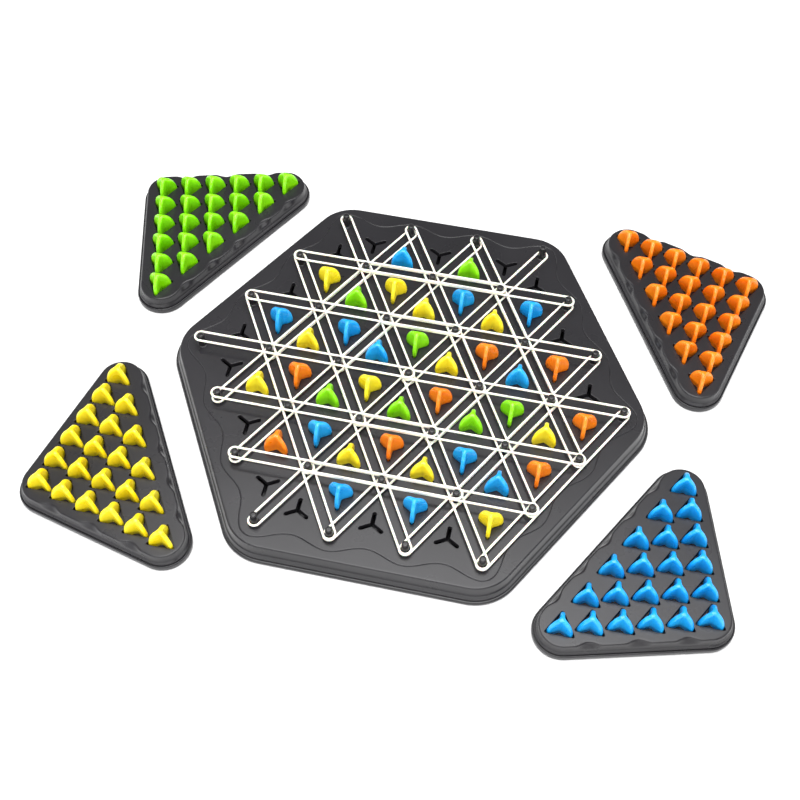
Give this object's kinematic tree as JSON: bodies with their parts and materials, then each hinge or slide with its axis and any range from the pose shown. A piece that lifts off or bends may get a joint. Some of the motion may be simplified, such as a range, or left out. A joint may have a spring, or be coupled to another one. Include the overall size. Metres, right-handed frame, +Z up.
{
  "type": "hexagonal peg-and-band strategy board game",
  "caption": "Hexagonal board with a peg lattice, elastic bands looped over the pegs, three-finned tokens in Y slots and triangular token trays.",
  "frame": {"origin": "middle of the board's underside, on the table", "axes": "+X along the peg rows, -Y towards the nearest players, +Z up"},
  "size_m": [0.3486, 0.2554, 0.0234],
  "materials": {
    "graphite_abs": "satin, fine-grained dark grey",
    "graphite_base": "satin, fine-grained dark grey",
    "cream_elastic": "matt ivory latex",
    "blue_gloss": "glossy",
    "green_gloss": "glossy",
    "yellow_gloss": "glossy",
    "orange_gloss": "glossy"
  },
  "bodies": {
    "board": {"base": "graphite_base", "deck": "graphite_abs", "band_a1_1": "cream_elastic", "band_a1_2": "cream_elastic", "band_a2_1": "cream_elastic", "band_a2_2": "cream_elastic", "band_a3_1": "cream_elastic", "band_a3_2": "cream_elastic", "band_a4_1": "cream_elastic", "band_a4_2": "cream_elastic", "band_a5_1": "cream_elastic", "band_a5_2": "cream_elastic", "band_c1_1": "cream_elastic", "band_c1_2": "cream_elastic", "band_c2_1": "cream_elastic", "band_c2_2": "cream_elastic", "band_c3_1": "cream_elastic", "band_c3_2": "cream_elastic", "band_c4_1": "cream_elastic", "band_c4_2": "cream_elastic", "band_c5_1": "cream_elastic", "band_c5_2": "cream_elastic", "band_b1_1": "cream_elastic", "band_b1_2": "cream_elastic", "band_b2_1": "cream_elastic", "band_b2_2": "cream_elastic", "band_b3_1": "cream_elastic", "band_b3_2": "cream_elastic", "band_b4_1": "cream_elastic", "band_b4_2": "cream_elastic", "band_b5_1": "cream_elastic", "band_b5_2": "cream_elastic", "band_b_edge": "cream_elastic"},
    "tray_blue": {"tray_blue": "graphite_abs"},
    "tray_green": {"tray_green": "graphite_abs"},
    "tray_yellow": {"tray_yellow": "graphite_abs"},
    "tray_orange": {"tray_orange": "graphite_abs"},
    "token_blue_1": {"token_blue_1": "blue_gloss"},
    "token_blue_2": {"token_blue_2": "blue_gloss"},
    "token_blue_3": {"token_blue_3": "blue_gloss"},
    "token_blue_4": {"token_blue_4": "blue_gloss"},
    "token_blue_tray": {"token_blue_tray": "blue_gloss"},
    "token_green_1": {"token_green_1": "green_gloss"},
    "token_green_2": {"token_green_2": "green_gloss"},
    "token_green_3": {"token_green_3": "green_gloss"},
    "token_green_4": {"token_green_4": "green_gloss"},
    "token_green_tray": {"token_green_tray": "green_gloss"},
    "token_yellow_1": {"token_yellow_1": "yellow_gloss"},
    "token_yellow_2": {"token_yellow_2": "yellow_gloss"},
    "token_yellow_3": {"token_yellow_3": "yellow_gloss"},
    "token_yellow_4": {"token_yellow_4": "yellow_gloss"},
    "token_yellow_tray": {"token_yellow_tray": "yellow_gloss"},
    "token_orange_1": {"token_orange_1": "orange_gloss"},
    "token_orange_2": {"token_orange_2": "orange_gloss"},
    "token_orange_3": {"token_orange_3": "orange_gloss"},
    "token_orange_4": {"token_orange_4": "orange_gloss"},
    "token_orange_tray": {"token_orange_tray": "orange_gloss"}
  },
  "joints": [
    {"name": "tray_blue_lift", "type": "slide", "parent": "board", "child": "tray_blue", "axis": [0, 0, 1], "range_m": [0, 0.05]},
    {"name": "tray_green_lift", "type": "slide", "parent": "board", "child": "tray_green", "axis": [0, 0, 1], "range_m": [0, 0.05]},
    {"name": "tray_yellow_lift", "type": "slide", "parent": "board", "child": "tray_yellow", "axis": [0, 0, 1], "range_m": [0, 0.05]},
    {"name": "tray_orange_lift", "type": "slide", "parent": "board", "child": "tray_orange", "axis": [0, 0, 1], "range_m": [0, 0.05]},
    {"name": "token_blue_1_lift", "type": "slide", "parent": "board", "child": "token_blue_1", "axis": [0, 0, 1], "range_m": [0, 0.04]},
    {"name": "token_blue_2_lift", "type": "slide", "parent": "board", "child": "token_blue_2", "axis": [0, 0, 1], "range_m": [0, 0.04]},
    {"name": "token_blue_3_lift", "type": "slide", "parent": "board", "child": "token_blue_3", "axis": [0, 0, 1], "range_m": [0, 0.04]},
    {"name": "token_blue_4_lift", "type": "slide", "parent": "board", "child": "token_blue_4", "axis": [0, 0, 1], "range_m": [0, 0.04]},
    {"name": "token_blue_tray_lift", "type": "slide", "parent": "tray_blue", "child": "token_blue_tray", "axis": [0, 0, 1], "range_m": [0, 0.04]},
    {"name": "token_green_1_lift", "type": "slide", "parent": "board", "child": "token_green_1", "axis": [0, 0, 1], "range_m": [0, 0.04]},
    {"name": "token_green_2_lift", "type": "slide", "parent": "board", "child": "token_green_2", "axis": [0, 0, 1], "range_m": [0, 0.04]},
    {"name": "token_green_3_lift", "type": "slide", "parent": "board", "child": "token_green_3", "axis": [0, 0, 1], "range_m": [0, 0.04]},
    {"name": "token_green_4_lift", "type": "slide", "parent": "board", "child": "token_green_4", "axis": [0, 0, 1], "range_m": [0, 0.04]},
    {"name": "token_green_tray_lift", "type": "slide", "parent": "tray_green", "child": "token_green_tray", "axis": [0, 0, 1], "range_m": [0, 0.04]},
    {"name": "token_yellow_1_lift", "type": "slide", "parent": "board", "child": "token_yellow_1", "axis": [0, 0, 1], "range_m": [0, 0.04]},
    {"name": "token_yellow_2_lift", "type": "slide", "parent": "board", "child": "token_yellow_2", "axis": [0, 0, 1], "range_m": [0, 0.04]},
    {"name": "token_yellow_3_lift", "type": "slide", "parent": "board", "child": "token_yellow_3", "axis": [0, 0, 1], "range_m": [0, 0.04]},
    {"name": "token_yellow_4_lift", "type": "slide", "parent": "board", "child": "token_yellow_4", "axis": [0, 0, 1], "range_m": [0, 0.04]},
    {"name": "token_yellow_tray_lift", "type": "slide", "parent": "tray_yellow", "child": "token_yellow_tray", "axis": [0, 0, 1], "range_m": [0, 0.04]},
    {"name": "token_orange_1_lift", "type": "slide", "parent": "board", "child": "token_orange_1", "axis": [0, 0, 1], "range_m": [0, 0.04]},
    {"name": "token_orange_2_lift", "type": "slide", "parent": "board", "child": "token_orange_2", "axis": [0, 0, 1], "range_m": [0, 0.04]},
    {"name": "token_orange_3_lift", "type": "slide", "parent": "board", "child": "token_orange_3", "axis": [0, 0, 1], "range_m": [0, 0.04]},
    {"name": "token_orange_4_lift", "type": "slide", "parent": "board", "child": "token_orange_4", "axis": [0, 0, 1], "range_m": [0, 0.04]},
    {"name": "token_orange_tray_lift", "type": "slide", "parent": "tray_orange", "child": "token_orange_tray", "axis": [0, 0, 1], "range_m": [0, 0.04]}
  ]
}
